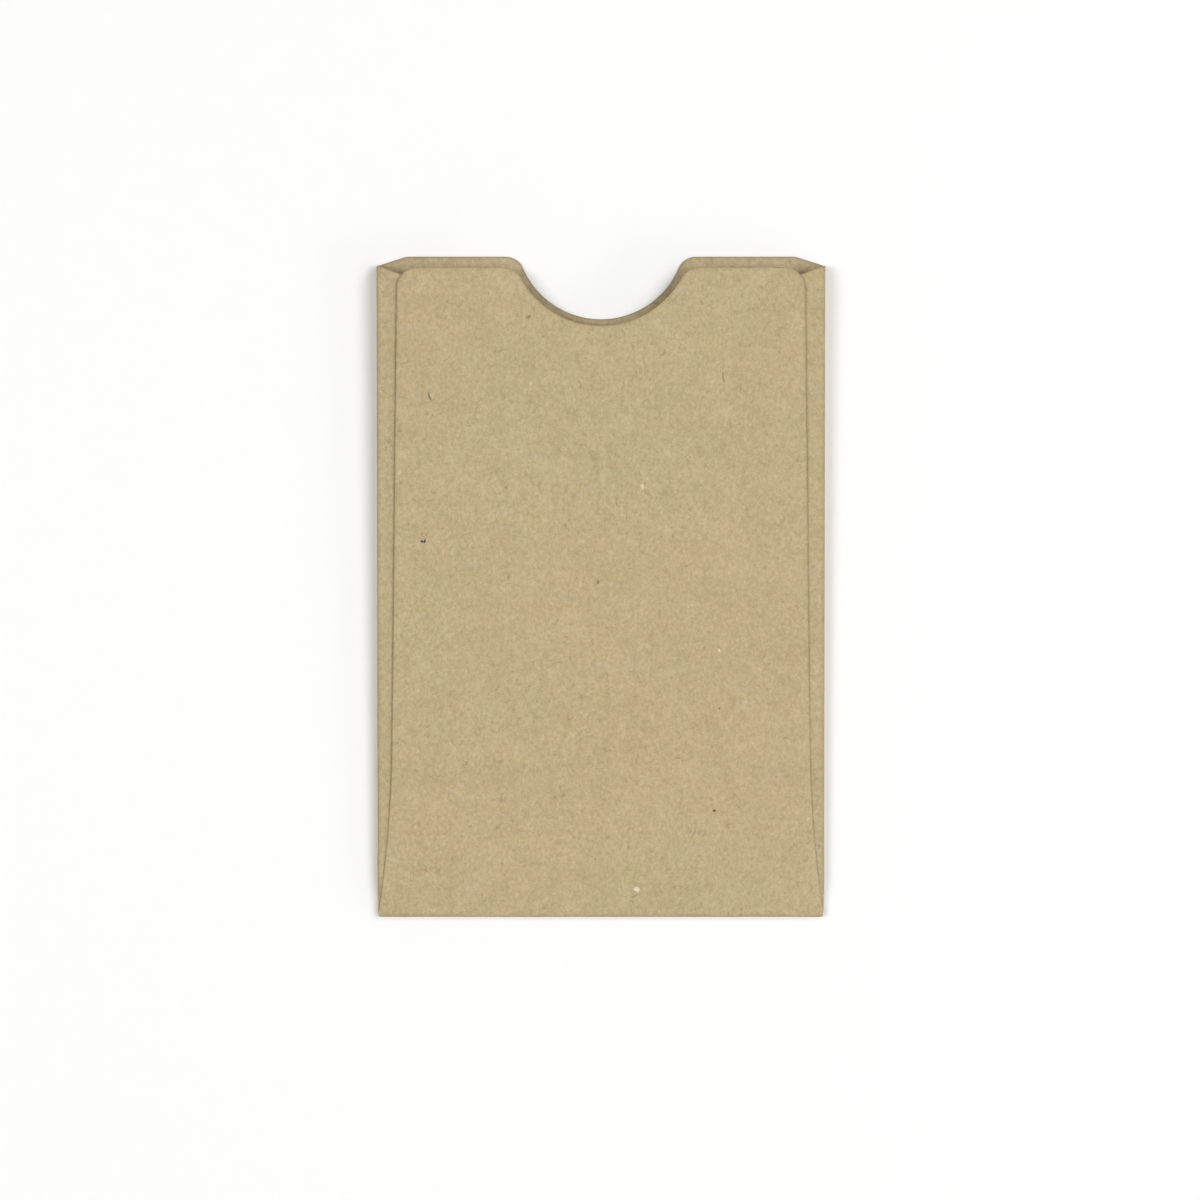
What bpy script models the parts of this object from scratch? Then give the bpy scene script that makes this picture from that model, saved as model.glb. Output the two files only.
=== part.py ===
"""Key card envelope: a small kraft card sleeve, folded from one die-cut blank
and glued along two side flaps.

It lies on its back. +Y points to the open mouth, +X to the right, +Z up
through the front panel. The origin is under the middle of the sleeve, on the
surface that it rests on. Units are metres.

The sleeve is a slight wedge. Its back panel is flat, and its front panel
climbs from the bottom fold to the mouth, so that a card can slide in.
"""

import math

import bmesh
import bpy
from mathutils import Vector

MM = 0.001

# ---------------------------------------------------------------- dimensions
SLEEVE_W = 60.0 * MM          # across the side folds
SLEEVE_L = 88.9 * MM          # bottom fold to the top edge of the back panel
CARD = 0.30 * MM              # thickness of the kraft card
CREASE_GAP = 0.05 * MM        # between two areas of the blank at a crease
GLUE_BED = 0.12 * MM          # between a side flap and the front panel
GLUE_T = 0.06 * MM            # thickness of the glue film
GLUE_W = 6.0 * MM
BEND_R = 0.40 * MM            # outer radius of every crease
BEND_STEPS = 5                # facets in a quarter turn of a crease

# front panel, as height of its underside above the table
WEDGE_START = 1.55 * MM       # what the straight climb would give at the bottom fold
WEDGE_RISE = 0.0158           # climb per unit length towards the mouth
HEEL_DROP = 0.81 * MM         # how far the panel dips to the bottom crease
HEEL_REACH = 3.57 * MM        # length over which that dip fades
FOLD_LOW = 0.71 * MM          # height of a side fold where it is pressed flat, at its foot

# back panel
BACK_CHAMFER_X = 3.76 * MM    # the two top corners are cut off
BACK_CHAMFER_Y = 1.20 * MM
NOTCH_BACK_R = 11.46 * MM
NOTCH_BACK_UP = 3.03 * MM     # centre of the notch above the panel's top edge
NOTCH_BACK_FILLET = 2.5 * MM

# front panel outline
FRONT_TOP_DROP = 2.01 * MM    # its top edge, below that of the back panel
FRONT_CORNER_R = 2.8 * MM
FRONT_HALF_TOP = 27.165 * MM  # half width at the top edge
FRONT_TAPER = 0.0115          # half width gained per unit length, downwards
FLARE_FROM_Y = -21.5 * MM     # below this line the sides sweep out to the corners
FLARE_R = 150.0 * MM
NOTCH_FRONT_R = 12.19 * MM
NOTCH_FRONT_UP = 4.45 * MM
NOTCH_FRONT_FILLET = 2.9 * MM

# side flaps
FLAP_REACH = 13.0 * MM        # from the side fold towards the middle
FLAP_TOP_DROP = 1.78 * MM     # outer end of the flap's top edge, below the back panel's
FLAP_TOP_SLOPE = 0.385        # the top edge falls away inward
FLAP_FOOT = 4.8 * MM          # outer end of the flap's bottom edge, above the bottom fold
FLAP_FOOT_SLOPE = 0.30
FLAP_TIP_R = 1.5 * MM         # rounding of the flap's two inner corners

HALF_W = SLEEVE_W / 2
HALF_L = SLEEVE_L / 2
CREASE_X = HALF_W - BEND_R    # where the side creases start to turn
CREASE_Y = -HALF_L + BEND_R   # where the bottom crease starts to turn
HEEL_STATIONS = (0.9, 1.5, 2.1, 2.7, 3.3, 4.0, 4.8, 5.8, 7.2, 9.5)   # mm above the bottom fold

KRAFT = (0.50, 0.40, 0.235, 1.0)
GLUE = (0.78, 0.76, 0.68, 1.0)


# ---------------------------------------------------------------- small tools
def clear_scene():
    for obj in list(bpy.data.objects):
        bpy.data.objects.remove(obj, do_unlink=True)


def material(name, colour, roughness):
    mat = bpy.data.materials.new(name)
    mat.use_nodes = True
    shader = mat.node_tree.nodes["Principled BSDF"]
    shader.inputs["Base Color"].default_value = colour
    shader.inputs["Roughness"].default_value = roughness
    shader.inputs["Metallic"].default_value = 0.0
    mat.diffuse_color = colour
    return mat


def add_object(name, bm, colour, roughness=0.85, parent=None):
    bmesh.ops.recalc_face_normals(bm, faces=bm.faces)
    mesh = bpy.data.meshes.new(name)
    bm.to_mesh(mesh)
    bm.free()
    obj = bpy.data.objects.new(name, mesh)
    bpy.context.scene.collection.objects.link(obj)
    obj.data.materials.append(material(name + "_paint", colour, roughness))
    mesh.shade_smooth()
    mesh.set_sharp_from_angle(angle=math.radians(30))
    if parent is not None:
        obj.parent = parent
        obj.matrix_parent_inverse = parent.matrix_world.inverted()
    return obj


def arc(cx, cy, r, a0, a1, steps):
    """Points on a circle from angle a0 to a1, in degrees, both ends included."""
    return [
        (
            cx + r * math.cos(math.radians(a0 + (a1 - a0) * i / steps)),
            cy + r * math.sin(math.radians(a0 + (a1 - a0) * i / steps)),
        )
        for i in range(steps + 1)
    ]


def notch_points(top_y, up, r, fillet, steps=28, fillet_steps=7):
    """The thumb notch from its right shoulder, round the bottom, to its left shoulder."""
    cy = top_y + up
    fy = top_y - fillet
    fx = math.sqrt((r + fillet) ** 2 - (cy - fy) ** 2)
    lean = math.degrees(math.atan2(cy - fy, fx))     # below the horizontal, as seen from the centre
    right = arc(fx, fy, fillet, 90, 180 - lean, fillet_steps)
    bowl = arc(0, cy, r, -lean, -180 + lean, steps)[1:-1]
    left = arc(-fx, fy, fillet, lean, 90, fillet_steps)
    return right + bowl + left


def panel_from_outline(outline, thickness):
    """A flat closed plate with this outline, its underside at z = 0."""
    bm = bmesh.new()
    verts = [bm.verts.new((x, y, 0)) for x, y in outline]
    face = bm.faces.new(verts)
    if face.normal.z < 0:
        face.normal_flip()
    lifted = bmesh.ops.extrude_face_region(bm, geom=[face])
    moved = [v for v in lifted["geom"] if isinstance(v, bmesh.types.BMVert)]
    bmesh.ops.translate(bm, verts=moved, vec=(0, 0, thickness))
    return bm


def slice_at(bm, y):
    bmesh.ops.bisect_plane(
        bm,
        geom=bm.verts[:] + bm.edges[:] + bm.faces[:],
        plane_co=(0, y, 0),
        plane_no=(0, 1, 0),
        dist=1e-8,
    )


def front_underside(y):
    """Height of the front panel's underside at y."""
    d = y + HALF_L
    return WEDGE_START + WEDGE_RISE * d - HEEL_DROP * math.exp(-((d / HEEL_REACH) ** 2))


def front_station_heights():
    """The same height as straight runs between the stations where the panel is sliced."""
    ys = [CREASE_Y] + [-HALF_L + s * MM for s in HEEL_STATIONS]
    return ys, [front_underside(y) for y in ys]


def front_height(y):
    """Underside of the front panel, straight between stations and straight to the mouth."""
    ys, zs = front_station_heights()
    top = HALF_L
    ys = ys + [top]
    zs = zs + [front_underside(top)]
    for i in range(len(ys) - 1):
        if y <= ys[i + 1]:
            f = (y - ys[i]) / (ys[i + 1] - ys[i])
            return zs[i] + (zs[i + 1] - zs[i]) * f
    return zs[-1]


def flap_top(y):
    return front_height(y) - GLUE_BED


def fold_top(y):
    """Top of a side fold: level with the flap's, but it stays above two thicknesses of card."""
    return max(flap_top(y), FOLD_LOW)


def lay_on_wedge(bm, lift):
    """Slice the plate across at the stations and raise it to follow the wedge."""
    for y in front_station_heights()[0]:
        slice_at(bm, y)
    for v in bm.verts:
        v.co.z += lift(v.co.y)
    return bm


def loft(loops):
    """A closed solid through matching closed loops, with both ends capped."""
    bm = bmesh.new()
    rings = [[bm.verts.new(p) for p in loop] for loop in loops]
    for a, b in zip(rings, rings[1:]):
        n = len(a)
        for i in range(n):
            bm.faces.new((a[i], a[(i + 1) % n], b[(i + 1) % n], b[i]))
    bm.faces.new(rings[0])
    bm.faces.new(list(reversed(rings[-1])))
    return bm


def crease_section(height):
    """Outline of a standing crease that turns up from the back and over to the front.

    The first coordinate runs outward from the line where the crease starts to
    turn, the second is the height. The wall between the two quarter turns is
    as tall as the height leaves it. Where the height is under two bend radii the
    crease is pressed tighter and starts to turn later.
    """
    r = min(BEND_R, height / 2.05)
    flat = BEND_R - r
    inner = r - CARD
    low = arc(flat, r, r, -90, 0, BEND_STEPS)
    high = arc(flat, height - r, r, 0, 90, BEND_STEPS)
    high_in = arc(flat, height - r, inner, 90, 0, BEND_STEPS)
    low_in = arc(flat, r, inner, 0, -90, BEND_STEPS)
    start_low, start_high = [(0.0, 0.0)], [(0.0, height)]
    end_high, end_low = [(0.0, height - CARD)], [(0.0, CARD)]
    return start_low + low[1:] + high[:-1] + start_high + end_high + high_in[1:] + low_in[:-1] + end_low


# ---------------------------------------------------------------- back body
def make_back_panel(parent):
    right = CREASE_X - CREASE_GAP
    bottom = CREASE_Y + CREASE_GAP
    # the chamfer runs out to the full width of the sleeve, so it is cut short at the crease
    run = BACK_CHAMFER_X - (HALF_W - right)
    fall = BACK_CHAMFER_Y * run / BACK_CHAMFER_X
    outline = (
        [(-right, bottom), (right, bottom), (right, HALF_L - fall), (right - run, HALF_L)]
        + notch_points(HALF_L, NOTCH_BACK_UP, NOTCH_BACK_R, NOTCH_BACK_FILLET)
        + [(-right + run, HALF_L), (-right, HALF_L - fall)]
    )
    return add_object("back_panel", panel_from_outline(outline, CARD), KRAFT, parent=parent)


def make_side_fold(name, side, parent):
    """The standing crease along one side, lower at the bottom fold than at the mouth."""
    y0 = CREASE_Y + CREASE_GAP + 0.05 * MM
    y1 = HALF_L - FLAP_TOP_DROP
    stations = [y0] + [y for y in front_station_heights()[0] if y > y0 + 0.2 * MM] + [y1]
    loops = []
    for y in stations:
        section = crease_section(fold_top(y))
        loops.append([(side * (CREASE_X + x), y, z) for x, z in section])
    return add_object(name, loft(loops), KRAFT, parent=parent)


def make_bottom_fold(parent):
    """The crease that joins the back panel to the front panel, right across the sleeve."""
    height = front_height(CREASE_Y) + CARD
    section = crease_section(height)
    loops = [[(x, CREASE_Y - out, z) for out, z in section] for x in (-HALF_W, HALF_W)]
    return add_object("bottom_fold", loft(loops), KRAFT, parent=parent)


# ---------------------------------------------------------------- front body
def front_half_width(y):
    half = FRONT_HALF_TOP + FRONT_TAPER * (HALF_L - FRONT_TOP_DROP - y)
    if y < FLARE_FROM_Y:
        half += (FLARE_FROM_Y - y) ** 2 / (2 * FLARE_R)
    return min(half, HALF_W - 0.05 * MM)


def make_front_panel(parent):
    top = HALF_L - FRONT_TOP_DROP
    bottom = CREASE_Y + CREASE_GAP
    side_top = top - FRONT_CORNER_R
    # right-hand side from the bottom crease up to the rounded top corner
    flare = [bottom + (FLARE_FROM_Y - bottom) * i / 12 for i in range(13)]
    side = [(front_half_width(y), y) for y in flare] + [(front_half_width(side_top), side_top)]
    corner_x = front_half_width(side_top) - FRONT_CORNER_R
    corner = arc(corner_x, side_top, FRONT_CORNER_R, 0, 90, 9)[1:]
    right = side + corner
    left = [(-x, y) for x, y in reversed(right)]
    outline = right + notch_points(top, NOTCH_FRONT_UP, NOTCH_FRONT_R, NOTCH_FRONT_FILLET) + left
    bm = lay_on_wedge(panel_from_outline(outline, CARD), front_height)
    return add_object("front_panel", bm, KRAFT, parent=parent)


def flap_outline(outer, reach, top, foot):
    """A side flap's outline, for the right side, with its two inner corners rounded."""
    inner = outer - reach
    r = FLAP_TIP_R
    top_in = top - FLAP_TOP_SLOPE * reach
    foot_in = foot + FLAP_FOOT_SLOPE * reach
    tips = []
    for y, slope, turn in ((foot_in, FLAP_FOOT_SLOPE, -1), (top_in, FLAP_TOP_SLOPE, 1)):
        # the corner's centre keeps r from the inner edge and from the sloping end
        lean = math.degrees(math.atan(slope))
        cx = inner + r
        end_y = y + turn * slope * r
        cy = end_y - turn * r / math.cos(math.radians(lean))
        if turn < 0:
            tips += arc(cx, cy, r, 180, 270 - lean, 6)[::-1]
        else:
            tips += arc(cx, cy, r, 180, 90 + lean, 6)
    foot_tip, top_tip = tips[:7], tips[7:]
    return [(outer, foot)] + [(outer, top)] + top_tip[::-1] + foot_tip[::-1]


def make_side_flap(name, side, parent):
    outer = CREASE_X - CREASE_GAP
    top = HALF_L - FLAP_TOP_DROP
    outline = flap_outline(outer, FLAP_REACH, top, -HALF_L + FLAP_FOOT)
    outline = [(side * x, y) for x, y in outline]
    bm = lay_on_wedge(panel_from_outline(outline, CARD), lambda y: flap_top(y) - CARD)
    return add_object(name, bm, KRAFT, parent=parent)


def make_glue_strip(name, side, parent):
    """A thin film of adhesive with rounded ends, between the flap and the front panel."""
    middle = CREASE_X - 7.6 * MM
    r = GLUE_W / 2
    low = -HALF_L + 12.0 * MM + r
    high = HALF_L - 9.0 * MM - r
    outline = arc(middle, high, r, 0, 180, 10) + arc(middle, low, r, 180, 360, 10)
    outline = [(side * x, y) for x, y in outline]
    bm = panel_from_outline(outline, GLUE_T)
    for v in bm.verts:
        v.co.z += flap_top(v.co.y) + (GLUE_BED - GLUE_T) / 2
    return add_object(name, bm, GLUE, roughness=0.45, parent=parent)


# ---------------------------------------------------------------- assembly
def main():
    clear_scene()

    back = bpy.data.objects.new("back_body", None)
    bpy.context.scene.collection.objects.link(back)

    # the front swings about the middle of the upper turn of the bottom crease
    front = bpy.data.objects.new("front_body", None)
    front.location = Vector((0, CREASE_Y, front_height(CREASE_Y) + CARD - BEND_R))
    bpy.context.scene.collection.objects.link(front)
    front.parent = back
    bpy.context.view_layer.update()

    make_back_panel(back)
    make_side_fold("left_side_fold", -1, back)
    make_side_fold("right_side_fold", 1, back)
    make_bottom_fold(back)

    make_side_flap("left_side_flap", -1, front)
    make_side_flap("right_side_flap", 1, front)
    make_glue_strip("left_glue_strip", -1, front)
    make_glue_strip("right_glue_strip", 1, front)
    make_front_panel(front)
    bpy.context.view_layer.update()


main()
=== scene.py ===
"""Looks of the key card envelope: a kraft card sleeve lying on its back.

Every sheet is modelled as a piece of the flat blank, with its real thickness
and die-cut edges, and is then folded into place. Lengths in the builder
functions are millimetres, and are turned into metres when a mesh is made.
"""

import math

import bmesh
import bpy
import numpy as np
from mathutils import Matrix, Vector
from mathutils.geometry import delaunay_2d_cdt


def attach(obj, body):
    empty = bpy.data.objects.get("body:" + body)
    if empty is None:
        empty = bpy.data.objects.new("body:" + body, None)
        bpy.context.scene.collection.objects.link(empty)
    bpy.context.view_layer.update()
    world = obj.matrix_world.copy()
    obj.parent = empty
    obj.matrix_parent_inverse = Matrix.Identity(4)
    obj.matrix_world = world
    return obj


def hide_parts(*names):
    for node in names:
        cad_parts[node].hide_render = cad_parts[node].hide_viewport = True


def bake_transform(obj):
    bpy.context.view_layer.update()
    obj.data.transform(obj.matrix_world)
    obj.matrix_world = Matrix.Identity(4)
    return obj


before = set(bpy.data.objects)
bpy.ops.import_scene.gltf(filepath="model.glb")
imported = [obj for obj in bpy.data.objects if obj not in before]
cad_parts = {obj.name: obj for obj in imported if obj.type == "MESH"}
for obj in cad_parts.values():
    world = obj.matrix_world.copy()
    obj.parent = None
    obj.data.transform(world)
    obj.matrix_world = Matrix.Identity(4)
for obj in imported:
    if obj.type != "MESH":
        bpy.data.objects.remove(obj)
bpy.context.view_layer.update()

MM = 0.001

# ------------------------------------------------------------ sizes, as in part.py
HALF_W, HALF_L = 30.0, 44.45
CARD = 0.30
BEND_R = 0.40
SIDE_PULL = 0.042                     # the sides draw in a little above the bottom fold
CREASE_X = HALF_W - BEND_R - SIDE_PULL - 0.008
CREASE_Y = -HALF_L + BEND_R
GLUE_BED = 0.12
WEDGE_START, WEDGE_RISE = 1.55, 0.0158
HEEL_DROP, HEEL_REACH = 0.81, 3.57
FOLD_LOW = 0.71                       # height of a side fold that is pressed flat

BACK_CHAMFER_X, BACK_CHAMFER_Y = 3.76, 1.20
NOTCH_BACK = (11.46, 3.03, 2.5)       # radius, centre above the top edge, shoulder radius
FRONT_TOP_DROP = 2.01
FRONT_CORNER_R = 2.8
FRONT_HALF_TOP, FRONT_TAPER = 27.165, 0.0115
FLARE_FROM_Y, FLARE_R = -21.5, 150.0
NOTCH_FRONT = (12.19, 4.45, 2.9)

FLAP_REACH = 13.0
FLAP_TOP_DROP = 1.78
FLAP_TOP_SLOPE, FLAP_FOOT_SLOPE = 0.385, 0.30
FLAP_FOOT = 4.8
FLAP_TIP_R = 1.5
FOLD_FOOT_Y = CREASE_Y + 0.10

QUARTER = math.pi / 2 * (BEND_R - CARD / 2)   # length of a quarter turn along the sheet
WALL = 1.6                                    # length that a side wall has in the flat layout


# ------------------------------------------------------------ camera, floor and light
def make_camera():
    cam_data = bpy.data.cameras.new("camera")
    cam_data.lens = 50.0
    cam_data.sensor_width = 36.0
    cam_data.clip_start = 0.01
    cam = bpy.data.objects.new("camera", cam_data)
    # straight above, a little to the left of the sleeve's middle and nearer its bottom fold
    cam.location = (-0.122 * MM, -1.825 * MM, 224.90 * MM)
    bpy.context.scene.collection.objects.link(cam)
    bpy.context.scene.camera = cam


def make_floor():
    mesh = bpy.data.meshes.new("floor")
    reach, z = 1.4, -0.02 * MM
    rim = [math.radians(a) for a in range(0, 360, 3)]
    mesh.from_pydata([(reach * math.cos(a), reach * math.sin(a), z) for a in rim], [], [tuple(range(len(rim)))])
    floor = bpy.data.objects.new("floor", mesh)
    bpy.context.scene.collection.objects.link(floor)
    mat = bpy.data.materials.new("floor_white")
    mat.use_nodes = True
    shader = mat.node_tree.nodes["Principled BSDF"]
    shader.inputs["Base Color"].default_value = (0.879, 0.878, 0.873, 1)
    shader.inputs["Roughness"].default_value = 1.0
    shader.inputs["Specular IOR Level"].default_value = 0.0
    mesh.materials.append(mat)


def make_light(name, x0, x1, y0, y1, power):
    """A soft box that hangs level, one metre up, and faces down."""
    data = bpy.data.lights.new(name, "AREA")
    data.shape = "RECTANGLE"
    data.size, data.size_y = x1 - x0, y1 - y0
    data.energy = power
    data.color = (1.0, 1.0, 1.0)
    obj = bpy.data.objects.new(name, data)
    obj.location = ((x0 + x1) / 2, (y0 + y1) / 2, 1.0)
    bpy.context.scene.collection.objects.link(obj)


def make_studio():
    scene = bpy.context.scene
    scene.view_settings.view_transform = "Standard"
    world = bpy.data.worlds.new("studio")
    world.use_nodes = True
    back = world.node_tree.nodes["Background"]
    back.inputs["Color"].default_value = (1.0, 1.0, 1.0, 1)
    scene.world = world
    # a pale backdrop stands round the table, and the room above it is dark
    nodes, links = world.node_tree.nodes, world.node_tree.links
    towards = nodes.new("ShaderNodeTexCoord")
    split = nodes.new("ShaderNodeSeparateXYZ")
    links.new(towards.outputs["Generated"], split.inputs[0])
    ramp = nodes.new("ShaderNodeValToRGB")
    links.new(split.outputs["Z"], ramp.inputs["Fac"])
    stops = ramp.color_ramp.elements
    while len(stops) < 5:
        stops.new(0.5)
    for stop, (at, level) in zip(stops, ((0.0, 0.73), (0.17, 0.62), (0.31, 0.31), (0.41, 0.05), (0.50, 0.005))):
        stop.position = at
        stop.color = (level, level, level, 1)
    links.new(ramp.outputs["Color"], back.inputs["Strength"])
    # a bank of soft boxes on each side of the camera, and a weak bounce from far on the right
    make_light("left_high", -1.4, -0.7, 0.45, 0.9, 5.93)
    make_light("left_near", -1.1, -0.4, -0.15, 0.05, 5.37)
    make_light("left_low", -0.9, -0.4, -0.35, -0.15, 2.00)
    make_light("left_far", -2.2, -1.1, -0.15, 0.25, 2.80)
    make_light("right_high", 0.72, 1.4, 0.45, 0.9, 7.90)
    make_light("right_upper", 0.55, 1.15, 0.05, 0.45, 3.39)
    make_light("right_near", 0.30, 0.72, -0.35, 0.05, 3.14)
    make_light("right_middle", 0.72, 1.4, -0.35, 0.05, 3.43)
    make_light("right_low", 0.30, 0.72, -0.9, -0.35, 1.81)
    make_light("right_bounce", 2.2, 4.0, -2.2, -0.9, 64.2)


# ------------------------------------------------------------ outlines of the blank
def arc(cx, cy, r, a0, a1, steps):
    t = np.radians(np.linspace(a0, a1, steps + 1))
    return [(cx + r * math.cos(a), cy + r * math.sin(a)) for a in t]


def run(a, b, step):
    """Points from a towards b about step apart, without b itself."""
    a, b = np.array(a, float), np.array(b, float)
    n = max(1, int(round(np.linalg.norm(b - a) / step)))
    return [tuple(a + (b - a) * i / n) for i in range(n)]


def notch(top_y, r, up, fillet, bowl_steps=96, fillet_steps=16):
    """Thumb notch from its right shoulder round to its left shoulder."""
    cy, fy = top_y + up, top_y - fillet
    fx = math.sqrt((r + fillet) ** 2 - (cy - fy) ** 2)
    lean = math.degrees(math.atan2(cy - fy, fx))
    right = arc(fx, fy, fillet, 90, 180 - lean, fillet_steps)
    bowl = arc(0, cy, r, -lean, -180 + lean, bowl_steps)[1:-1]
    left = arc(-fx, fy, fillet, lean, 90, fillet_steps)
    return right + bowl + left


def front_half_width(y):
    half = FRONT_HALF_TOP + FRONT_TAPER * (HALF_L - FRONT_TOP_DROP - y)
    if y < FLARE_FROM_Y:
        half += (FLARE_FROM_Y - y) ** 2 / (2 * FLARE_R)
    return min(half, HALF_W - 0.05)


# ------------------------------------------------------------ height of the folded sheets
def bump_field(x, y):
    """The slight waviness of a card sheet, in millimetres, about -1 to 1."""
    return (
        0.45 * math.sin(0.083 * x + 0.6) * math.cos(0.071 * y - 0.4)
        + 0.30 * math.sin(0.19 * x - 0.11 * y + 1.9)
        + 0.25 * math.sin(0.13 * y + 0.16 * x + 0.3) * math.sin(0.31 * x - 1.2)
    )


def climb(y):
    """Fades the waviness in above the bottom fold."""
    t = min(max((y - CREASE_Y) / 14.0, 0.0), 1.0)
    return t * t * (3 - 2 * t)


def front_under(x, y):
    """Underside of the front panel."""
    d = y + HALF_L
    z = WEDGE_START + WEDGE_RISE * d - HEEL_DROP * math.exp(-(d / HEEL_REACH) ** 2)
    # the unsupported middle hangs a little lower than the glued sides
    sag = 0.10 * max(0.0, 1 - (x / 24.0) ** 2) ** 1.5
    return z - climb(y) * (sag * (0.3 + 0.7 * d / 88.0) + 0.015 * (1 - bump_field(x, y)))


def smooth(t):
    t = min(max(t, 0.0), 1.0)
    return t * t * (3 - 2 * t)


def side_half_width(y):
    """Outermost point of a side fold."""
    return HALF_W - SIDE_PULL * smooth((y + HALF_L - 3.5) / 7.5)


def low_down(y):
    """1 near the bottom fold, where the layers are pressed into each other, else 0."""
    return 1.0 - smooth((y + HALF_L - 4.0) / 7.0)


def flap_surface(x, y):
    """Top of a side flap, which runs parallel to the front panel above it and springs up
    against its edge. Low down its bare strip stands up a little beside the front panel."""
    z = max(front_under(x, y) - GLUE_BED + 0.07 * smooth((abs(x) - 25.2) / 1.5), FOLD_LOW)
    return z + 0.10 * low_down(y) * smooth((abs(x) - front_half_width(y)) / 0.8)


# ------------------------------------------------------------ folding the flat layout
def fold_back(x, y):
    """Back panel: the flat layout as it lies, inner face up. Gives the outer face."""
    return (x, y, 0.0)


def fold_front(x, s):
    """Bottom crease and front panel. s runs from the back panel round the crease.
    Gives a point of the outer face."""
    if s <= QUARTER:
        a = math.radians(270 - 90 * s / QUARTER)
        return (x, CREASE_Y + BEND_R * math.cos(a), BEND_R + BEND_R * math.sin(a))
    s -= QUARTER
    if s <= HEEL_WALL:
        return (x, CREASE_Y - BEND_R, BEND_R + (HEEL_Z - BEND_R) * s / HEEL_WALL)
    s -= HEEL_WALL
    if s <= QUARTER:
        a = math.radians(180 - (90 - HEEL_LEAN) * s / QUARTER)
        return (x, CREASE_Y + BEND_R * math.cos(a), HEEL_Z + BEND_R * math.sin(a))
    y = HEEL_Y + (s - QUARTER)
    return (x, y, front_under(x, y) + CARD)


def solve_heel():
    """Where the upper turn of the bottom crease runs smoothly into the front panel."""
    lean = 20.0
    for _ in range(40):
        y = CREASE_Y - BEND_R * math.sin(math.radians(lean))
        slope = (front_under(0, y + 0.001) - front_under(0, y - 0.001)) / 0.002
        lean = math.degrees(math.atan(slope))
    y = CREASE_Y - BEND_R * math.sin(math.radians(lean))
    return lean, y, front_under(0, y) + CARD - BEND_R * math.cos(math.radians(lean))


HEEL_LEAN, HEEL_Y, HEEL_Z = solve_heel()
HEEL_WALL = HEEL_Z - BEND_R
FRONT_S0 = 2 * QUARTER + HEEL_WALL            # where the front panel starts in the layout
SIDE_P0 = 2 * QUARTER + WALL                  # where a side flap starts in the layout


def fold_side(p, y):
    """Side crease and flap, for the right side. p runs from the back panel round the
    crease to the flap. Gives a point of the outer face."""
    wide = side_half_width(y)
    line = flap_surface(wide - BEND_R, y)
    r = min(BEND_R, line / 2.05)                 # near the bottom the crease is pressed tighter
    high = line - r                              # centre of the upper turn
    if p <= 0:
        return (CREASE_X + p, y, 0.0)
    if p <= QUARTER:
        flat_run = wide - r - CREASE_X
        share = flat_run / (flat_run + math.pi / 2 * r)
        t = p / QUARTER
        if t < share:
            return (CREASE_X + flat_run * t / share, y, 0.0)
        a = math.radians(-90 + 90 * (t - share) / (1 - share))
        return (wide - r + r * math.cos(a), y, r + r * math.sin(a))
    p -= QUARTER
    if p <= WALL:
        return (wide, y, r + (high - r) * p / WALL)
    p -= WALL
    if p <= QUARTER:
        a = math.pi / 2 * p / QUARTER
        return (wide - r + r * math.cos(a), y, high + r * math.sin(a))
    x = wide - r - (p - QUARTER)
    return (x, y, flap_surface(x, y))


# ------------------------------------------------------------ sheets with die-cut edges
# how far in from a cut edge, and how much the outer and the inner face have rolled
# off there
ROLL_AT = (0.00, 0.03, 0.08, 0.18, 0.40)
ROLL_OUTER = (0.075, 0.040, 0.020, 0.008, 0.0)
ROLL_INNER = (0.060, 0.030, 0.014, 0.005, 0.0)


def inside(pts, poly):
    x, y = pts[:, 0], pts[:, 1]
    hit = np.zeros(len(pts), bool)
    a, b = poly, np.roll(poly, -1, 0)
    for (x0, y0), (x1, y1) in zip(a, b):
        cross = (y0 > y) != (y1 > y)
        if cross.any():
            with np.errstate(divide="ignore", invalid="ignore"):
                xi = x0 + (y - y0) * (x1 - x0) / (y1 - y0)
            hit ^= cross & (x < xi)
    return hit


def edge_distance(pts, a, b):
    """Shortest distance from each point to any of the segments a to b."""
    best = np.full(len(pts), 1e9)
    for (x0, y0), (x1, y1) in zip(a, b):
        d = np.array([x1 - x0, y1 - y0])
        t = np.clip(((pts - (x0, y0)) @ d) / (d @ d), 0, 1)
        q = pts - (np.array([x0, y0]) + t[:, None] * d)
        best = np.minimum(best, np.hypot(q[:, 0], q[:, 1]))
    return best


def divide_seams(outline, cut):
    """Adds outline points where a seam edge comes near a cut edge, so that the rolled
    edge keeps its shape up to the seam."""
    pts, flags = [], []
    n = len(outline)
    for i in range(n):
        a, b = outline[i], outline[(i + 1) % n]
        pts.append(a)
        flags.append(cut[i])
        if cut[i]:
            continue
        length = np.linalg.norm(b - a)
        steps = []
        if cut[i - 1]:
            steps += [r for r in ROLL_AT[1:]]
        if cut[(i + 1) % n]:
            steps += [length - r for r in reversed(ROLL_AT[1:])]
        for r in sorted(steps):
            pts.append(a + (b - a) * r / length)
            flags.append(False)
    return np.array(pts), np.array(flags, bool)


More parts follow.
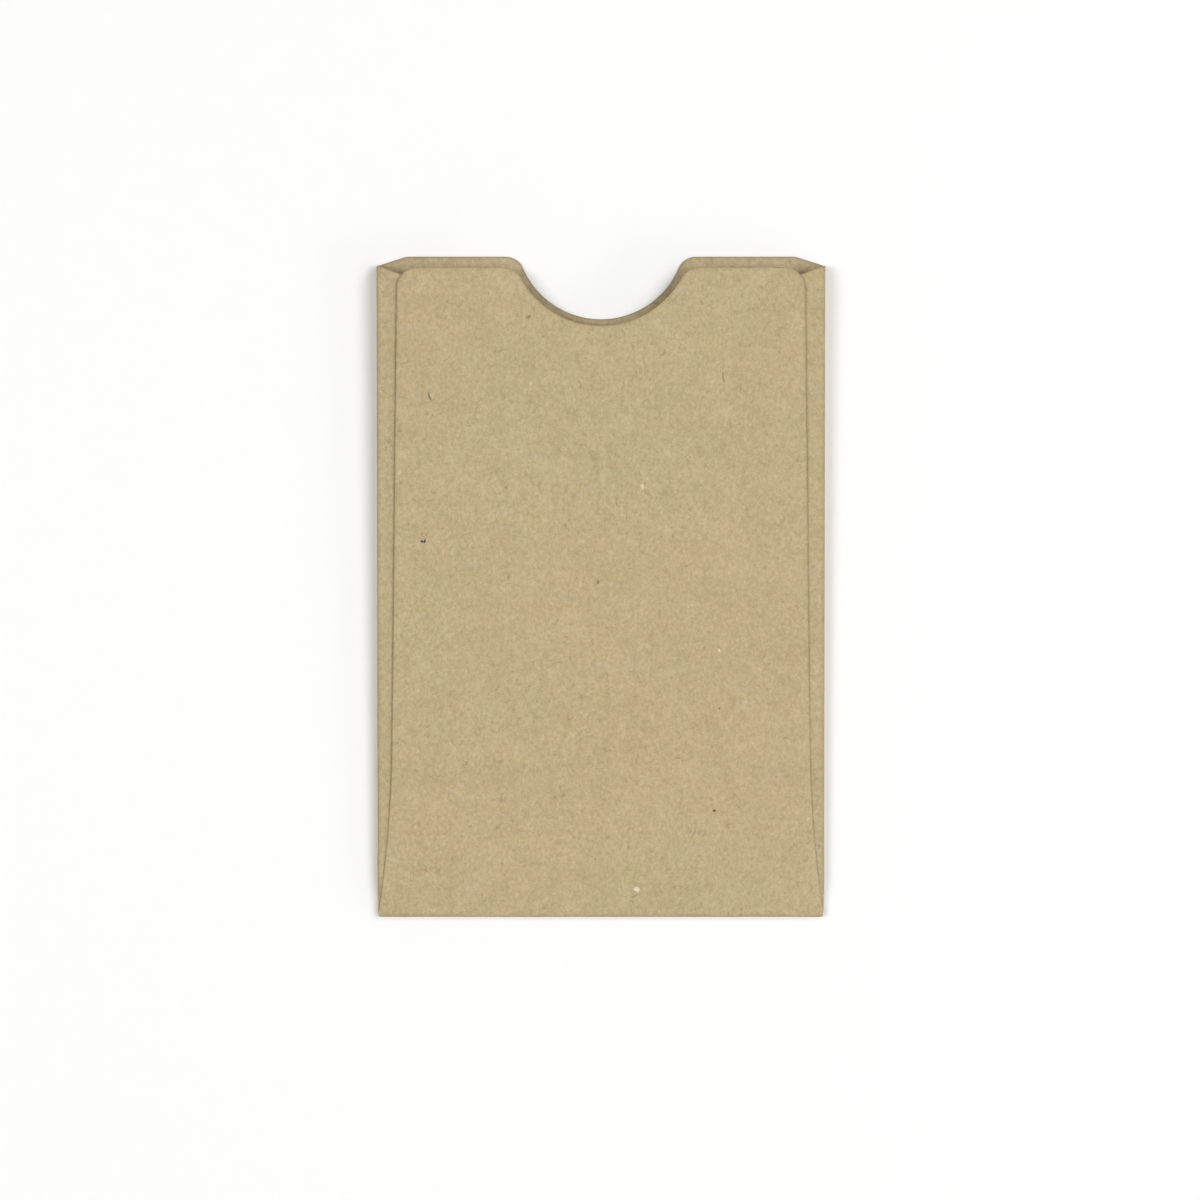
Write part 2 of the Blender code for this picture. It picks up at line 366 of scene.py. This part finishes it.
def edge_points(outline, cut):
    """Inner points that follow the cut edges at the distances of ROLL_AT."""
    n = len(outline)
    seg_a, seg_b = outline[cut], np.roll(outline, -1, 0)[cut]
    sew_a, sew_b = outline[~cut], np.roll(outline, -1, 0)[~cut]
    found = []
    for r in ROLL_AT[1:]:
        new = []
        for i in range(n):
            before, here, after = outline[i - 1], outline[i], outline[(i + 1) % n]
            if not (cut[i - 1] and cut[i]):
                continue
            e1, e2 = here - before, after - here
            e1, e2 = e1 / np.linalg.norm(e1), e2 / np.linalg.norm(e2)
            n1, n2 = np.array([-e1[1], e1[0]]), np.array([-e2[1], e2[0]])
            mid = n1 + n2
            new.append(here + mid * r / (mid @ n1))
        new = np.array(new)
        keep = inside(new, outline) & (edge_distance(new, seg_a, seg_b) > 0.97 * r)
        if len(sew_a):
            keep &= edge_distance(new, sew_a, sew_b) > 0.02
        for point in new[keep]:
            if all((point[0] - q[0]) ** 2 + (point[1] - q[1]) ** 2 > 0.012 ** 2 for q in found[-12:]):
                found.append(point)
    return np.array(found)


def make_sheet(name, outline, cut, fill, surface, mirror=1.0, flip=False, crease=None, crushed=None):
    """One sheet of card: a flat layout with an outline, given its thickness and die-cut
    edges, and folded by the function surface.

    cut says for each outline edge whether it is a cut edge (True) or runs on into the
    neighbouring area of the blank (False). fill gives the layout's inner points. The
    outer face of the sheet is the one that surface returns. crease gives how much darker
    the card is drawn in a fold at a place of the layout, from 0 to 1, and crushed how far
    the outer face's edge is pressed down there.
    """
    outline, cut = divide_seams(np.array(outline, float), np.array(cut, bool))
    n = len(outline)
    seg_a, seg_b = outline[cut], np.roll(outline, -1, 0)[cut]
    sew_a, sew_b = outline[~cut], np.roll(outline, -1, 0)[~cut]
    rim = edge_points(outline, cut)
    fill = np.array(fill, float)
    fill = fill[inside(fill, outline)]
    fill = fill[edge_distance(fill, seg_a, seg_b) > ROLL_AT[-1] + 0.15]
    fill = fill[edge_distance(fill, sew_a, sew_b) > 0.03]

    coords = [Vector(v) for v in outline] + [Vector(v) for v in rim] + [Vector(v) for v in fill]
    edges = [(i, (i + 1) % n) for i in range(n)]
    verts2, _, faces2, orig, _, _ = delaunay_2d_cdt(coords, edges, [], 1, 1e-6)
    flat = np.array([tuple(v) for v in verts2])
    place = {o: v for v, names in enumerate(orig) for o in names}
    loop = [place[i] for i in range(n)]
    count = len(flat)

    # one triangulation serves both faces, so the sheet is closed all round
    near = edge_distance(flat, seg_a, seg_b)
    outer_roll = np.interp(near, ROLL_AT, ROLL_OUTER)
    if crushed:
        outer_roll += [0.10 * crushed(u, v) for u, v in flat] * (1 - near / 1.4).clip(0, 1)
    depth = np.concatenate([outer_roll, CARD - np.interp(near, ROLL_AT, ROLL_INNER)])
    flat, near = np.concatenate([flat, flat]), np.concatenate([near, near])
    faces = [tuple(f) for f in faces2] + [tuple(v + count for v in reversed(f)) for f in faces2]
    mats = [0] * len(faces)
    for i in range(n):                               # the cut edge, or the seam, between the two faces
        a, b = loop[i], loop[(i + 1) % n]
        faces.append((a + count, b + count, b, a))
        mats.append(1 if cut[i] else 0)

    # fold: the outer face as surface gives it, and the depth along its normal
    eps = 0.004
    world = np.zeros((len(flat), 3))
    for i, ((u, v), d) in enumerate(zip(flat, depth)):
        p = np.array(surface(u, v))
        if d > 0:
            du = np.array(surface(u + eps, v)) - np.array(surface(u - eps, v))
            dv = np.array(surface(u, v + eps)) - np.array(surface(u, v - eps))
            normal = np.cross(du, dv)
            normal /= np.linalg.norm(normal)
            if flip:
                normal = -normal
            p = p - normal * d
        world[i] = p
    world[:, 0] *= mirror

    mesh = bpy.data.meshes.new(name)
    if (mirror < 0) != flip:
        faces = [f[::-1] for f in faces]
    mesh.from_pydata((world * MM).tolist(), [], faces)
    mesh.polygons.foreach_set("material_index", mats)
    attr = mesh.attributes.new("edge_mm", "FLOAT", "POINT")
    attr.data.foreach_set("value", np.minimum(near, 1.0).astype(np.float32))
    attr = mesh.attributes.new("crease", "FLOAT", "POINT")
    # how much darker each point is drawn in the turns of a crease
    pressed = [crease(u, v) if crease else 0.0 for u, v in flat]
    attr.data.foreach_set("value", np.array(pressed, np.float32))

    bm = bmesh.new()
    bm.from_mesh(mesh)
    open_edges = sum(1 for e in bm.edges if not e.is_manifold)
    volume = bm.calc_volume(signed=True)
    bm.free()
    print("sheet", name, len(mesh.polygons), "faces, open edges", open_edges, "volume mm3", round(volume * 1e9, 2))
    mesh.shade_smooth()
    mesh.set_sharp_from_angle(angle=math.radians(50))
    obj = bpy.data.objects.new(name, mesh)
    bpy.context.scene.collection.objects.link(obj)
    return obj


def grid(x0, x1, y0, y1, step):
    """Staggered points that fill a rectangle."""
    out = []
    rows = int((y1 - y0) / (step * 0.866)) + 1
    for j in range(rows):
        y = y0 + j * step * 0.866
        x = x0 + (step / 2 if j % 2 else 0.0)
        while x <= x1:
            out.append((x, y))
            x += step
    return out


def make_back_sheet():
    right, bottom = CREASE_X, CREASE_Y
    run_x = BACK_CHAMFER_X - BEND_R
    fall = BACK_CHAMFER_Y * run_x / BACK_CHAMFER_X
    bowl = notch(HALF_L, *NOTCH_BACK)
    pts, cut = [], []

    def add(points, is_cut):
        pts.extend(points)
        cut.extend([is_cut] * len(points))

    add(run((-right, bottom), (right, bottom), 0.9), False)
    add(run((right, bottom), (right, HALF_L - fall), 0.9), False)
    add(run((right, HALF_L - fall), (right - run_x, HALF_L), 0.3), True)
    add(run((right - run_x, HALF_L), bowl[0], 0.4), True)
    add(bowl[:-1], True)
    add(run(bowl[-1], (-right + run_x, HALF_L), 0.4), True)
    add(run((-right + run_x, HALF_L), (-right, HALF_L - fall), 0.3), True)
    add(run((-right, HALF_L - fall), (-right, bottom), 0.9), False)
    # seen from below the layout is reversed, so the outer face looks down
    return make_sheet("back_sheet", pts, cut, grid(-31, 31, -45, 45, 0.9), fold_back, flip=True)


def crease_darkening_at(p, flat_from, wall):
    """How much darker the card is drawn at p in the layout of a crease: most in its two turns."""
    lower = 1 - abs(p - QUARTER / 2) / (QUARTER * 0.9)
    upper = 1 - abs(p - (flat_from - QUARTER / 2)) / (QUARTER * 0.9)
    t = max(lower, upper, 0.0)
    return t * t * (3 - 2 * t)


SIDE_COLUMNS = [QUARTER * i / 8 for i in range(9)]
SIDE_COLUMNS += [QUARTER + WALL * i / 6 for i in range(1, 7)]
SIDE_COLUMNS += [QUARTER + WALL + QUARTER * i / 8 for i in range(1, 9)]


def make_side_sheet(name, side):
    """Side crease and flap. The layout's first axis runs round the crease to the flap."""
    fall = BACK_CHAMFER_Y * (BACK_CHAMFER_X - BEND_R) / BACK_CHAMFER_X
    y_low, y_high = HALF_L - fall, HALF_L - FLAP_TOP_DROP
    tip = SIDE_P0 + FLAP_REACH
    top_in = y_high - FLAP_TOP_SLOPE * FLAP_REACH
    foot_out = -HALF_L + FLAP_FOOT
    foot_in = foot_out + FLAP_FOOT_SLOPE * FLAP_REACH
    r = FLAP_TIP_R
    lean_f = math.degrees(math.atan(FLAP_FOOT_SLOPE))
    lean_t = math.degrees(math.atan(FLAP_TOP_SLOPE))
    cx = tip - r
    foot_c = (cx, foot_in - FLAP_FOOT_SLOPE * r + r / math.cos(math.radians(lean_f)))
    top_c = (cx, top_in + FLAP_TOP_SLOPE * r - r / math.cos(math.radians(lean_t)))
    foot_tip = arc(*foot_c, r, -90 + lean_f, 0, 12)
    top_tip = arc(*top_c, r, 0, 90 - lean_t, 12)

    pts, cut = [], []

    def add(points, is_cut):
        pts.extend(points)
        cut.extend([is_cut] * len(points))

    # foot of the crease, then the relieved foot of the flap
    add([(p, FOLD_FOOT_Y) for p in SIDE_COLUMNS[:-1]], True)
    add(run((SIDE_P0, FOLD_FOOT_Y), (SIDE_P0 + 0.22, FOLD_FOOT_Y + 0.9), 0.3), True)
    add(run((SIDE_P0 + 0.22, FOLD_FOOT_Y + 0.9), (SIDE_P0 + 0.75, foot_out + 0.1), 0.3), True)
    add(run((SIDE_P0 + 0.75, foot_out + 0.1), (SIDE_P0 + 1.6, foot_out + 0.48), 0.3), True)
    add(run((SIDE_P0 + 1.6, foot_out + 0.48), foot_tip[0], 0.5), True)
    add(foot_tip[:-1], True)
    add(run(foot_tip[-1], top_tip[0], 0.8), True)
    add(top_tip[:-1], True)
    add(run(top_tip[-1], (SIDE_P0, y_high), 0.35), True)
    # mouth end of the crease, back down to the back panel
    mouth = []
    for p in reversed(SIDE_COLUMNS):
        t = p / SIDE_P0
        mouth.append((p, y_low + (y_high - y_low) * t))
    add(mouth[:-1], True)
    seam = run((0.0, y_low), (0.0, FOLD_FOOT_Y), 0.9)
    add(seam, False)

    rows = [y for _, y in seam[1:]]
    fill = [(p, y) for p in SIDE_COLUMNS[1:] for y in rows]
    fill += [(SIDE_P0 + a, y) for a in (0.12, 0.3, 0.6, 1.0) for y in rows]
    fill += grid(SIDE_P0 + 1.6, tip + 1, -44, 44, 0.85)
    # the layout is seen from its inner face, so it is turned over like the back panel's
    return make_sheet(name, pts, cut, fill, fold_side, mirror=side, flip=True,
                      crease=lambda p, y: crease_darkening_at(p, SIDE_P0, WALL))


FRONT_COLUMNS = [QUARTER * i / 8 for i in range(9)]
FRONT_COLUMNS += [QUARTER + HEEL_WALL * i / 3 for i in range(1, 4)]
FRONT_COLUMNS += [QUARTER + HEEL_WALL + QUARTER * i / 8 for i in range(1, 9)]


def make_front_sheet():
    """Bottom crease and front panel. The layout's second axis runs round the crease."""
    top = HALF_L - FRONT_TOP_DROP
    side_top = top - FRONT_CORNER_R
    to_s = lambda y: FRONT_S0 + (y - HEEL_Y)
    half = lambda s: front_half_width(HEEL_Y + max(s - FRONT_S0, 0.0))
    ys = [y for y in np.arange(HEEL_Y + 0.4, side_top - 0.3, 0.7)]
    side_s = FRONT_COLUMNS[1:] + [to_s(y) for y in ys] + [to_s(side_top)]
    side = [(half(s), s) for s in side_s]
    corner = arc(half(to_s(side_top)) - FRONT_CORNER_R, to_s(side_top), FRONT_CORNER_R, 0, 90, 20)
    bowl = [(x, to_s(y)) for x, y in notch(top, *NOTCH_FRONT)]

    pts, cut = [], []

    def add(points, is_cut):
        pts.extend(points)
        cut.extend([is_cut] * len(points))

    corner_x = half(0.0)
    seam = run((-corner_x, 0.0), (corner_x, 0.0), 0.9)
    add(seam, False)
    add([(corner_x, 0.0)], True)
    add(side[:-1], True)
    add(corner[:-1], True)
    add(run(corner[-1], bowl[0], 0.4), True)
    add(bowl[:-1], True)
    left_corner = [(-x, s) for x, s in reversed(corner)]
    add(run(bowl[-1], left_corner[0], 0.4), True)
    add(left_corner[:-1], True)
    add([(-x, s) for x, s in reversed(side)], True)

    rows = [x for x, _ in seam[1:]]
    fill = [(x, s) for s in FRONT_COLUMNS[1:] for x in rows]
    fill += [(x, FRONT_S0 + a) for a in (0.12, 0.3, 0.55, 0.85, 1.2, 1.6) for x in rows]
    fill += grid(-31, 31, FRONT_S0 + 2.1, to_s(top), 0.9)
    low = lambda s: (1 - smooth((HEEL_Y + s - FRONT_S0 + HALF_L - 10.0) / 7.0)) * smooth((s - FRONT_S0 - 1.5) / 2.0)
    return make_sheet("front_sheet", pts, cut, fill, fold_front,
                      crease=lambda x, s: crease_darkening_at(s, FRONT_S0, HEEL_WALL),
                      crushed=lambda x, s: low(s))


# ------------------------------------------------------------ materials
class Nodes:
    """Short calls for building a material's node tree."""

    def __init__(self, mat):
        self.tree = mat.node_tree
        self.made = 0

    def add(self, kind, **values):
        node = self.tree.nodes.new(kind)
        node.location = (-1800 + 190 * (self.made % 11), 700 - 190 * (self.made // 11))
        self.made += 1
        for key, value in values.items():
            setattr(node, key, value)
        return node

    def link(self, out, into):
        self.tree.links.new(out, into)

    def feed(self, socket, value):
        if isinstance(value, bpy.types.NodeSocket):
            self.link(value, socket)
        else:
            socket.default_value = value

    def math(self, op, a, b=0.0, c=0.0, clamp=False):
        node = self.add("ShaderNodeMath", operation=op, use_clamp=clamp)
        for socket, value in zip(node.inputs, (a, b, c)):
            self.feed(socket, value)
        return node.outputs[0]

    def vector(self, op, a, b=(0, 0, 0)):
        node = self.add("ShaderNodeVectorMath", operation=op)
        self.feed(node.inputs[0], a)
        self.feed(node.inputs[1], b)
        return node.outputs["Value"] if op in ("LENGTH", "DISTANCE", "DOT_PRODUCT") else node.outputs[0]

    def ramp(self, value, low, high, out_low=0.0, out_high=1.0, smooth=True):
        node = self.add("ShaderNodeMapRange", interpolation_type="SMOOTHSTEP" if smooth else "LINEAR")
        self.feed(node.inputs["Value"], value)
        for key, v in (("From Min", low), ("From Max", high), ("To Min", out_low), ("To Max", out_high)):
            node.inputs[key].default_value = v
        return node.outputs["Result"]

    def noise(self, at, scale, detail=2.0, rough=0.5, warp=0.0):
        node = self.add("ShaderNodeTexNoise")
        self.link(at, node.inputs["Vector"])
        node.inputs["Scale"].default_value = scale
        node.inputs["Detail"].default_value = detail
        node.inputs["Roughness"].default_value = rough
        node.inputs["Distortion"].default_value = warp
        return node.outputs["Fac"]

    def moved(self, at, offset, turn=(0, 0, 0), scale=(1, 1, 1)):
        node = self.add("ShaderNodeMapping")
        self.link(at, node.inputs["Vector"])
        node.inputs["Location"].default_value = offset
        node.inputs["Rotation"].default_value = turn
        node.inputs["Scale"].default_value = scale
        return node.outputs["Vector"]

    def mix(self, kind, fac, a, b):
        node = self.add("ShaderNodeMix", data_type="RGBA", blend_type=kind)
        self.feed(node.inputs["Factor"], fac)
        for socket, value in ((node.inputs[6], a), (node.inputs[7], b)):
            self.feed(socket, value)
        return node.outputs[2]


# small foreign fibres and specks pressed into the outer face: place in millimetres,
# half length, half width, turn in degrees, bend, colour and strength
FLECKS = [
    (-23.86, 5.97, 0.19, 0.17, 0, 0.0, (0.025, 0.026, 0.028), 0.95),
    (-23.51, 5.99, 0.31, 0.14, 72, 0.0, (0.030, 0.035, 0.030), 0.95),
    (-23.42, 6.30, 0.14, 0.10, 80, 0.0, (0.12, 0.17, 0.20), 0.60),
    (15.16, -29.99, 0.20, 0.18, 0, 0.0, (0.060, 0.045, 0.015), 0.95),
    (16.25, 27.80, 0.78, 0.10, -84, 0.12, (0.20, 0.15, 0.08), 0.75),
    (4.81, -40.57, 0.42, 0.34, -8, 0.0, (0.70, 0.60, 0.47), 0.95),
    (4.50, -41.54, 0.56, 0.11, 28, 0.10, (0.24, 0.18, 0.09), 0.70),
    (-22.36, -43.53, 0.40, 0.13, 68, 0.0, (0.58, 0.45, 0.29), 0.70),
    (-22.86, 25.26, 0.66, 0.12, -70, 0.25, (0.12, 0.10, 0.05), 0.85),
    (-22.66, 25.50, 0.45, 0.08, -62, 0.25, (0.62, 0.55, 0.38), 0.50),
    (-9.55, 35.86, 0.25, 0.14, 70, 0.0, (0.18, 0.13, 0.05), 0.80),
    (-9.33, 27.04, 0.30, 0.19, 90, 0.0, (0.60, 0.49, 0.31), 0.75),
    (-26.87, 15.10, 0.38, 0.16, 65, 0.0, (0.58, 0.48, 0.27), 0.75),
    (5.53, 13.29, 0.40, 0.20, -70, 0.0, (0.68, 0.57, 0.38), 0.85),
    (5.86, 13.70, 0.16, 0.14, 0, 0.0, (0.20, 0.16, 0.08), 0.70),
    (2.12, 10.90, 0.60, 0.09, -56, 0.45, (0.24, 0.17, 0.08), 0.65),
    (-0.39, 0.565, 0.30, 0.16, 90, 0.0, (0.15, 0.12, 0.04), 0.85),
    (15.81, -8.57, 0.28, 0.18, -65, 0.0, (0.70, 0.58, 0.40), 0.85),
    (15.87, -16.29, 0.15, 0.14, 0, 0.0, (0.13, 0.11, 0.10), 0.85),
    (11.05, -8.84, 0.50, 0.09, -64, 0.15, (0.26, 0.22, 0.13), 0.55),
    (3.43, 9.11, 0.34, 0.10, 85, 0.0, (0.26, 0.18, 0.09), 0.60),
]


def fleck_masks(n, at, base):
    """Paints each fleck on the outer face of the front over the base colour."""
    colour = base
    wobble = n.add("ShaderNodeTexNoise")
    n.link(at, wobble.inputs["Vector"])
    wobble.inputs["Scale"].default_value = 4200.0
    wobble.inputs["Detail"].default_value = 1.0
    shift = n.vector("SUBTRACT", wobble.outputs["Color"], (0.5, 0.5, 0.5))
    shift_node = n.add("ShaderNodeVectorMath", operation="SCALE")
    n.link(shift, shift_node.inputs[0])
    shift_node.inputs["Scale"].default_value = 0.00016
    bent = n.vector("ADD", at, shift_node.outputs[0])
    for x, y, long_, wide, turn, bend, rgb, strength in FLECKS:
        local = n.add("ShaderNodeMapping", vector_type="TEXTURE")
        n.link(bent, local.inputs["Vector"])
        local.inputs["Location"].default_value = (x * MM, y * MM, 0.0)
        local.inputs["Rotation"].default_value = (0, 0, math.radians(turn))
        local.inputs["Scale"].default_value = (long_ * MM, wide * MM, 1.0)
        parts = n.add("ShaderNodeSeparateXYZ")
        n.link(local.outputs["Vector"], parts.inputs[0])
        u, v = parts.outputs[0], parts.outputs[1]
        if bend:
            v = n.math("MULTIPLY_ADD", n.math("MULTIPLY", u, u), -bend * long_ / wide, v)
        dist = n.math("SQRT", n.math("MULTIPLY_ADD", u, u, n.math("MULTIPLY", v, v)))
        fac = n.ramp(dist, 1.15, 0.75, 0.0, strength)
        colour = n.mix("MIX", fac, colour, (*rgb, 1))
    return colour


def fibre_set(n, at, offset, scale, width, keep, seed_scale):
    """Short curved strokes: thin contour lines of a smooth noise, cut into pieces."""
    there = n.moved(at, offset)
    line = n.noise(there, scale, detail=0.0, warp=0.35)
    off = n.math("ABSOLUTE", n.math("SUBTRACT", line, 0.5))
    stroke = n.ramp(off, width, width * 0.25)
    gate = n.noise(n.moved(at, tuple(-1.7 * o for o in offset)), seed_scale, detail=0.0)
    return n.math("MULTIPLY", stroke, n.ramp(gate, keep, keep + 0.05))


def kraft_material(name, flecks=False, edge=False, tone=(1.0, 1.0, 1.0), rim_wear_and_shade_tone=(0.80, 0.77, 0.72)):
    """Uncoated kraft card: pulp mottle, fibres of several sizes and a soft tooth."""
    mat = bpy.data.materials.new(name)
    mat.use_nodes = True
    n = Nodes(mat)
    shader = mat.node_tree.nodes["Principled BSDF"]
    at = n.add("ShaderNodeTexCoord").outputs["Object"]

    # the fibres lie a little more along the sleeve than across it
    grain = n.moved(at, (0.0, 0.0, 0.0), scale=(1.0, 0.72, 1.0))
    fine = n.noise(grain, 4300.0, detail=1.0, rough=0.5)
    pulp = n.noise(n.moved(grain, (0.3, 0.1, 0.2)), 2000.0, detail=1.5, rough=0.55)
    felt = n.noise(n.moved(grain, (0.8, 0.6, 0.4)), 820.0, detail=1.0, rough=0.5)
    cloud = n.noise(n.moved(at, (0.7, 0.4, 0.9)), 280.0, detail=1.0, rough=0.5)
    broad = n.noise(n.moved(at, (0.2, 0.9, 0.5)), 70.0, detail=2.0, rough=0.5)
    tint = n.noise(n.moved(at, (0.5, 0.3, 0.1)), 700.0, detail=3.0, rough=0.65)
    hue = n.noise(n.moved(at, (0.9, 0.3, 0.7)), 45.0, detail=3.0, rough=0.5)

    level = n.math("MULTIPLY_ADD", fine, 0.38, 0.81)
    level = n.math("MULTIPLY", level, n.math("MULTIPLY_ADD", pulp, 0.35, 0.825))
    level = n.math("MULTIPLY", level, n.math("MULTIPLY_ADD", felt, 0.15, 0.925))
    level = n.math("MULTIPLY", level, n.math("MULTIPLY_ADD", cloud, 0.12, 0.94))
    level = n.math("MULTIPLY", level, n.math("MULTIPLY_ADD", broad, 0.05, 0.975))

    base = tuple(a * b for a, b in zip((0.4555, 0.3616, 0.2076), tone))
    warm = n.math("MULTIPLY_ADD", tint, 0.65, n.math("MULTIPLY", hue, 0.35))
    pink = n.mix("MIX", n.ramp(warm, 0.30, 0.70, smooth=False),
                 (base[0] * 0.965, base[1] * 1.010, base[2] * 0.985, 1),
                 (base[0] * 1.035, base[1] * 0.990, base[2] * 1.010, 1))
    # a thin spot loses more of its blue than of its red
    grey = n.add("ShaderNodeCombineColor")
    for socket, power in zip(grey.inputs[:3], (1.0, 1.12, 1.42)):
        n.link(n.math("POWER", level, power), socket)
    colour = n.mix("MULTIPLY", 1.0, pink, grey.outputs[0])
    straw = n.noise(n.moved(at, (0.15, 0.75, 0.35)), 1500.0, detail=2.0, rough=0.6)
    drift = n.noise(n.moved(at, (0.65, 0.25, 0.05)), 420.0, detail=2.0, rough=0.75)
    straw = n.math("MULTIPLY_ADD", straw, 0.5, n.math("MULTIPLY", drift, 0.5))
    colour = n.mix("MULTIPLY", 1.0, colour,
                   n.mix("MIX", n.ramp(straw, 0.30, 0.70, smooth=False),
                         (1.012, 1.006, 0.945, 1), (0.988, 0.994, 1.055, 1)))

    dark = fibre_set(n, at, (0.11, 0.23, 0.31), 620.0, 0.020, 0.60, 900.0)
    dark_fine = fibre_set(n, at, (0.41, 0.13, 0.61), 1100.0, 0.028, 0.55, 1300.0)
    light = fibre_set(n, at, (0.21, 0.53, 0.15), 760.0, 0.024, 0.58, 1000.0)
    colour = n.mix("MULTIPLY", n.math("MULTIPLY", dark, 0.50), colour, (0.60, 0.56, 0.50, 1))
    colour = n.mix("MULTIPLY", n.math("MULTIPLY", dark_fine, 0.35), colour, (0.66, 0.62, 0.56, 1))
    colour = n.mix("MIX", n.math("MULTIPLY", light, 0.22), colour, (0.66, 0.56, 0.38, 1))

    # sparse dark specks of bark
    speck = n.add("ShaderNodeTexVoronoi")
    n.link(n.moved(at, (0.6, 0.2, 0.8)), speck.inputs["Vector"])
    speck.inputs["Scale"].default_value = 260.0
    split = n.add("ShaderNodeSeparateColor")
    n.link(speck.outputs["Color"], split.inputs[0])
    rare = n.ramp(split.outputs[0], 0.90, 0.92)
    dot = n.math("MULTIPLY", n.ramp(speck.outputs["Distance"], 0.045, 0.020), rare)
    colour = n.mix("MIX", n.math("MULTIPLY", dot, 0.45), colour, (0.17, 0.12, 0.06, 1))

    if edge:
        # the die-cut edge is drawn darker: partly its ply lines and pressed pulp, partly painted shade for the dark
        # line along the edges
        colour = n.mix("MULTIPLY", 1.0, colour, (0.72, 0.69, 0.63, 1))
    else:
        # partly handling and die-press wear, partly painted shade: the sheet is drawn darker just inside its cut
        # edges, where the dark shaded line along each edge falls
        near = n.add("ShaderNodeAttribute", attribute_name="edge_mm").outputs["Fac"]
        rim = n.math("MULTIPLY_ADD", n.ramp(near, 0.20, 0.0), 0.55, n.math("MULTIPLY", n.ramp(near, 0.50, 0.0), 0.35))
        place = n.add("ShaderNodeSeparateXYZ")
        n.link(at, place.inputs[0])
        # painted shade: the edge darkening fades out towards the bottom, where the front panel's edge casts less
        # shade
        rim = n.math("MULTIPLY", rim, n.ramp(place.outputs[1], -26 * MM, -4 * MM, 0.10, 1.0))
        colour = n.mix("MULTIPLY", rim, colour, (*rim_wear_and_shade_tone, 1))
        # the card is drawn darker in the turns of the creases
        fold = n.add("ShaderNodeAttribute", attribute_name="crease").outputs["Fac"]
        colour = n.mix("MULTIPLY", n.math("MULTIPLY", fold, 0.85), colour, (0.82, 0.80, 0.76, 1))
    if flecks:
        colour = fleck_masks(n, at, colour)
    n.link(colour, shader.inputs["Base Color"])

    rough = n.math("MULTIPLY_ADD", pulp, 0.16, 0.78)
    n.link(rough, shader.inputs["Roughness"])
    shader.inputs["Specular IOR Level"].default_value = 0.28

    height = n.math("MULTIPLY_ADD", fine, 0.45, n.math("MULTIPLY", pulp, 0.65))
    height = n.math("MULTIPLY_ADD", n.math("ADD", dark, light), 0.20, height)
    bump = n.add("ShaderNodeBump")
    bump.inputs["Strength"].default_value = 0.55
    bump.inputs["Distance"].default_value = 0.018 * MM
    n.link(height, bump.inputs["Height"])
    n.link(bump.outputs["Normal"], shader.inputs["Normal"])
    return mat


def glue_material():
    """Dried hot-melt film: pale, slightly cloudy, with drag marks along the bead."""
    mat = bpy.data.materials.new("dried_adhesive")
    mat.use_nodes = True
    n = Nodes(mat)
    shader = mat.node_tree.nodes["Principled BSDF"]
    at = n.add("ShaderNodeTexCoord").outputs["Object"]
    cloud = n.noise(at, 500.0, detail=3.0)
    drag = n.noise(n.moved(at, (0, 0, 0), scale=(1.0, 0.08, 1.0)), 2600.0, detail=2.0)
    colour = n.mix("MIX", cloud, (0.62, 0.57, 0.44, 1), (0.82, 0.79, 0.68, 1))
    n.link(colour, shader.inputs["Base Color"])
    n.link(n.math("MULTIPLY_ADD", drag, 0.25, 0.28), shader.inputs["Roughness"])
    bump = n.add("ShaderNodeBump")
    bump.inputs["Strength"].default_value = 0.4
    bump.inputs["Distance"].default_value = 0.01 * MM
    n.link(drag, bump.inputs["Height"])
    n.link(bump.outputs["Normal"], shader.inputs["Normal"])
    return mat


# ------------------------------------------------------------ build
make_camera()
make_floor()
make_studio()

# painted shade: the back sheet is drawn a shade darker and greyer than the front, for its inner face, which shows at
# the mouth and the notch under the front panel; its cut edges get a much darker painted shade line
kraft_inner_painted_shade = kraft_material("kraft_card_inner_painted_shade", tone=(0.954, 0.953, 0.976), rim_wear_and_shade_tone=(0.56, 0.54, 0.51))
# painted shade: the side sheets are drawn a little darker and greyer than the front, as the bare strips beside the
# folds look shaded
kraft_flap_painted_shade = kraft_material("kraft_card_flap_painted_shade", tone=(0.987, 0.994, 1.000), rim_wear_and_shade_tone=(0.84, 0.81, 0.77))
kraft_front = kraft_material("kraft_card_front", flecks=True)
kraft_edge_pulp_and_shade = kraft_material("kraft_cut_edge_pulp_and_shade", edge=True)
# the flap's cut edge is drawn lighter than the others, with less painted shade
kraft_flap_edge_pulp_and_shade = kraft_material("kraft_flap_edge_pulp_and_shade", edge=True, tone=(1.18, 1.18, 1.18))

back_sheet = make_back_sheet()
back_sheet.data.materials.append(kraft_inner_painted_shade)
back_sheet.data.materials.append(kraft_edge_pulp_and_shade)
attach(back_sheet, "back")
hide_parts("back_panel")

for side, word in ((-1.0, "left"), (1.0, "right")):
    sheet = make_side_sheet(word + "_side_sheet", side)
    sheet.data.materials.append(kraft_flap_painted_shade)
    sheet.data.materials.append(kraft_flap_edge_pulp_and_shade)
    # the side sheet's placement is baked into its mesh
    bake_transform(sheet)
    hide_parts(word + "_side_fold", word + "_side_flap")

front_sheet = make_front_sheet()
front_sheet.data.materials.append(kraft_front)
front_sheet.data.materials.append(kraft_edge_pulp_and_shade)
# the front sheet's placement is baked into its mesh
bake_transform(front_sheet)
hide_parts("front_panel", "bottom_fold")

glue = glue_material()
for word in ("left", "right"):
    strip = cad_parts[word + "_glue_strip"]
    strip.data.materials.clear()
    strip.data.materials.append(glue)
